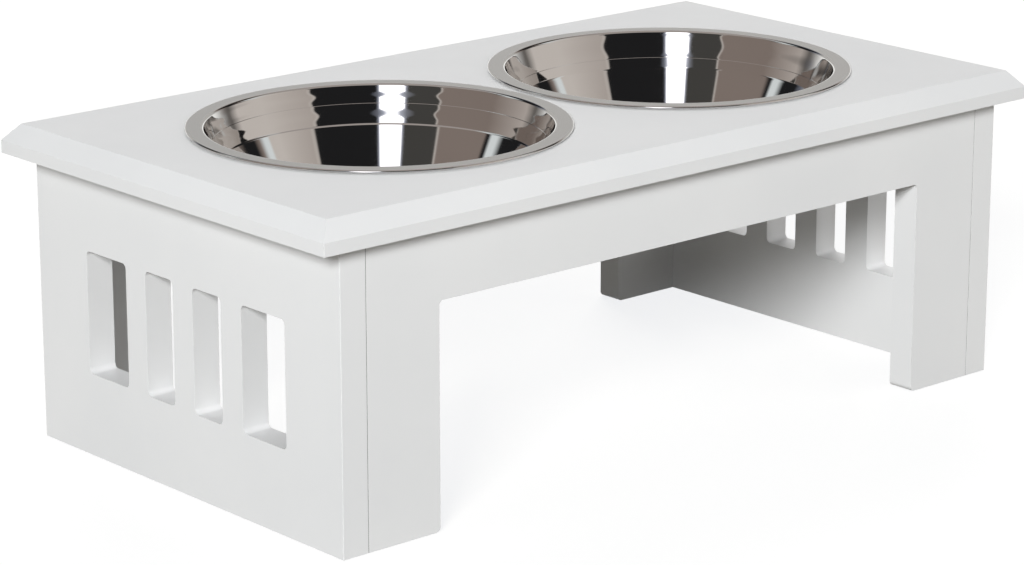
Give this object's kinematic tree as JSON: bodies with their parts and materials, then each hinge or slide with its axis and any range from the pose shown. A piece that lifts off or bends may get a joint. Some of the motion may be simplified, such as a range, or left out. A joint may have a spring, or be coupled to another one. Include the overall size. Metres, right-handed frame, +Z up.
{
  "type": "dog feeder stand",
  "caption": "Low white board stand with slotted side panels and an open front, holding lift-out stainless steel feeding bowls flush in its chamfered top.",
  "frame": {"origin": "on the floor, under the middle of the stand", "axes": "+X along the stand's length to the right seen from the front, +Y from front to back, +Z up"},
  "size_m": [0.44, 0.24, 0.1545],
  "materials": {
    "board_paint": "white satin paint on fibreboard",
    "bowl_steel": "stainless steel, polished inside, satin flange",
    "zinc_fitting": "bright zinc-plated",
    "beech_dowel": "bare beech"
  },
  "bodies": {
    "stand": {"top_board": "board_paint", "left_side_panel": "board_paint", "right_side_panel": "board_paint", "front_panel": "board_paint", "back_panel": "board_paint", "front_left_cam_bolt": "zinc_fitting", "front_right_cam_bolt": "zinc_fitting", "back_left_cam_bolt": "zinc_fitting", "back_right_cam_bolt": "zinc_fitting", "left_top_cam_bolts": "zinc_fitting", "right_top_cam_bolts": "zinc_fitting", "front_left_cam_disc": "zinc_fitting", "front_right_cam_disc": "zinc_fitting", "back_left_cam_disc": "zinc_fitting", "back_right_cam_disc": "zinc_fitting", "left_top_cam_discs": "zinc_fitting", "right_top_cam_discs": "zinc_fitting", "front_left_dowels": "beech_dowel", "front_right_dowels": "beech_dowel", "back_left_dowels": "beech_dowel", "back_right_dowels": "beech_dowel", "left_top_dowels": "beech_dowel", "right_top_dowels": "beech_dowel", "front_apron_dowels": "beech_dowel", "back_apron_dowels": "beech_dowel"},
    "left_bowl": {"left_bowl": "bowl_steel"},
    "right_bowl": {"right_bowl": "bowl_steel"}
  },
  "joints": [
    {"name": "left_bowl_lift", "type": "slide", "parent": "stand", "child": "left_bowl", "axis": [0, 0, 1], "range_m": [0, 0.06]},
    {"name": "right_bowl_lift", "type": "slide", "parent": "stand", "child": "right_bowl", "axis": [0, 0, 1], "range_m": [0, 0.06]}
  ]
}
